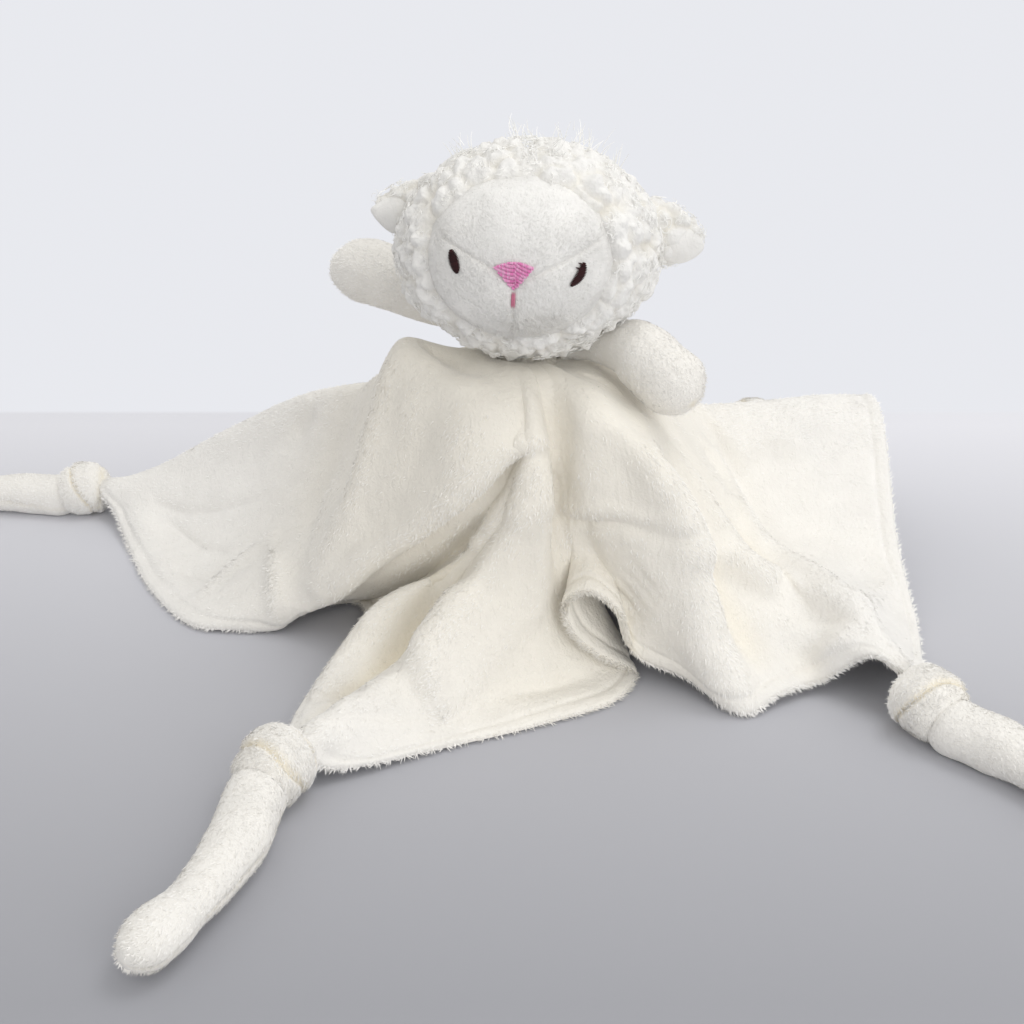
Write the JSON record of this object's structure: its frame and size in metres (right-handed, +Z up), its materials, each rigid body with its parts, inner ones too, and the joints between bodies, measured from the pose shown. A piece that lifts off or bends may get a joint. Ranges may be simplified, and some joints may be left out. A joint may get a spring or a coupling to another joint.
{
  "type": "comfort blanket lovey",
  "caption": "Square double-layer velour comfort blanket draped from a stuffed lamb head with two stuffed arms, floppy ears and knotted corners with tails.",
  "frame": {"origin": "on the table, under the middle of the whole object's box", "axes": "+Z up, -Y the way the face looks, +X to the right of someone who faces it"},
  "size_m": [0.4607, 0.3911, 0.179],
  "materials": {
    "velour": "short dense pile, ivory",
    "fleece": "curly long pile, ivory",
    "face_velour": "smooth short pile, greyish white",
    "stuffing": "loose polyester fibre",
    "pink_thread": "satin stitch",
    "dark_thread": "satin stitch"
  },
  "bodies": {
    "blanket": {"blanket_top_panel": "velour", "blanket_under_panel": "velour", "neck_gather": "velour", "front_left_knot": "velour", "front_right_knot": "velour", "back_right_knot": "velour", "back_left_knot": "velour"},
    "neck": {"neck_stuffing": "stuffing"},
    "head": {"head_filling": "stuffing", "left_hood_half": "fleece", "right_hood_half": "fleece", "forehead_panel": "face_velour", "left_cheek_panel": "face_velour", "right_cheek_panel": "face_velour", "nose_embroidery": "pink_thread", "mouth_stitch": "pink_thread", "left_eye_embroidery": "dark_thread", "right_eye_embroidery": "dark_thread"},
    "left_ear": {"left_ear_fleece": "fleece", "left_ear_lining": "face_velour"},
    "right_ear": {"right_ear_fleece": "fleece", "right_ear_lining": "face_velour"},
    "left_arm": {"left_arm_upper_panel": "velour", "left_arm_under_panel": "velour", "left_arm_filling": "stuffing"},
    "right_arm": {"right_arm_upper_panel": "velour", "right_arm_under_panel": "velour", "right_arm_filling": "stuffing"},
    "front_left_tail": {"front_left_tail": "velour"},
    "front_right_tail": {"front_right_tail": "velour"},
    "back_right_tail": {"back_right_tail": "velour"},
    "back_left_tail": {"back_left_tail": "velour"}
  },
  "joints": [
    {"name": "head_turn", "type": "hinge", "parent": "blanket", "child": "neck", "pos_m": [0.051, -0.003, 0.107], "axis": [0, 0, 1], "range_deg": [-12, 12], "stiffness_Nm_per_rad": 0.15},
    {"name": "head_nod", "type": "hinge", "parent": "neck", "child": "head", "pos_m": [0.051, -0.003, 0.107], "axis": [1, 0, 0], "range_deg": [-12, 12], "stiffness_Nm_per_rad": 0.4},
    {"name": "left_ear_flop", "type": "hinge", "parent": "head", "child": "left_ear", "pos_m": [0.014, 0.001, 0.1555], "axis": [0.1736, 0, 0.9848], "range_deg": [-12, 12], "stiffness_Nm_per_rad": 0.002},
    {"name": "right_ear_flop", "type": "hinge", "parent": "head", "child": "right_ear", "pos_m": [0.095, 0.001, 0.1475], "axis": [-0.0698, 0, 0.9976], "range_deg": [-12, 12], "stiffness_Nm_per_rad": 0.002},
    {"name": "left_arm_swing", "type": "hinge", "parent": "blanket", "child": "left_arm", "pos_m": [0.03997, 0.00862, 0.104], "axis": [0, 0, 1], "range_deg": [-20, 0], "stiffness_Nm_per_rad": 0.01},
    {"name": "right_arm_swing", "type": "hinge", "parent": "blanket", "child": "right_arm", "pos_m": [0.06486, 0.00195, 0.104], "axis": [0, 0, 1], "range_deg": [-15, 15], "stiffness_Nm_per_rad": 0.01},
    {"name": "front_left_tail_lift", "type": "hinge", "parent": "blanket", "child": "front_left_tail", "pos_m": [-0.02955, -0.12994, 0.00806], "axis": [-0.9511, 0.309, 0], "range_deg": [0, 40]},
    {"name": "front_right_tail_lift", "type": "hinge", "parent": "blanket", "child": "front_right_tail", "pos_m": [0.18992, -0.09486, 0.00806], "axis": [-0.8572, -0.515, 0], "range_deg": [0, 40]},
    {"name": "back_right_tail_lift", "type": "hinge", "parent": "blanket", "child": "back_right_tail", "pos_m": [0.16152, 0.1796, 0.00806], "axis": [0.0523, 0.9986, 0], "range_deg": [0, 40]},
    {"name": "back_left_tail_lift", "type": "hinge", "parent": "blanket", "child": "back_left_tail", "pos_m": [-0.16244, 0.0888, 0.00806], "axis": [-0.1045, 0.9945, 0], "range_deg": [0, 40]}
  ]
}
